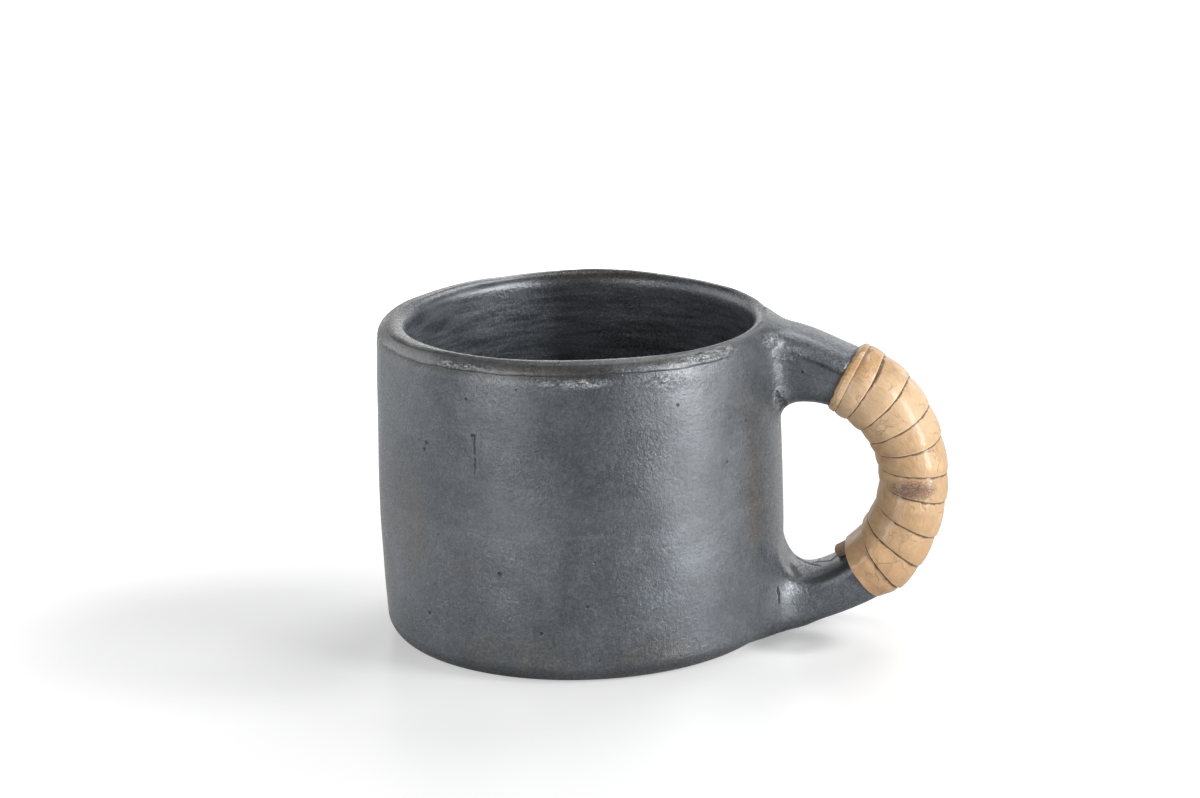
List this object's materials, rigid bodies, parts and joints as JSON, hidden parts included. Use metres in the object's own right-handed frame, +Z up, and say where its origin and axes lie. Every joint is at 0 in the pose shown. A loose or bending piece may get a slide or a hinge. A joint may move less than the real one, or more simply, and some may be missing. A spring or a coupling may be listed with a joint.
{
  "type": "clay mug",
  "caption": "Hand-built, burnished clay mug with straight walls and a looped handle whose grip is bound in a flat strip of hide.",
  "frame": {"origin": "centre of the flat base, on the table", "axes": "+Z up along the cup's axis, +X from the cup's axis towards the middle of the handle, +Y to the left of the handle seen from the cup"},
  "size_m": [0.1357, 0.096, 0.0754],
  "materials": {
    "burnished_clay": "burnished, unglazed, smoked dark grey, satin with a metallic sheen",
    "bound_hide": "lacquered pale tan strip, semi-gloss, with fine striations across it",
    "tucked_hide": "darker, rough cut end of the same strip"
  },
  "bodies": {
    "root": {"cup_body": "burnished_clay", "handle": "burnished_clay", "handle_wrap": "bound_hide", "strip_tail": "tucked_hide"}
  },
  "joints": []
}
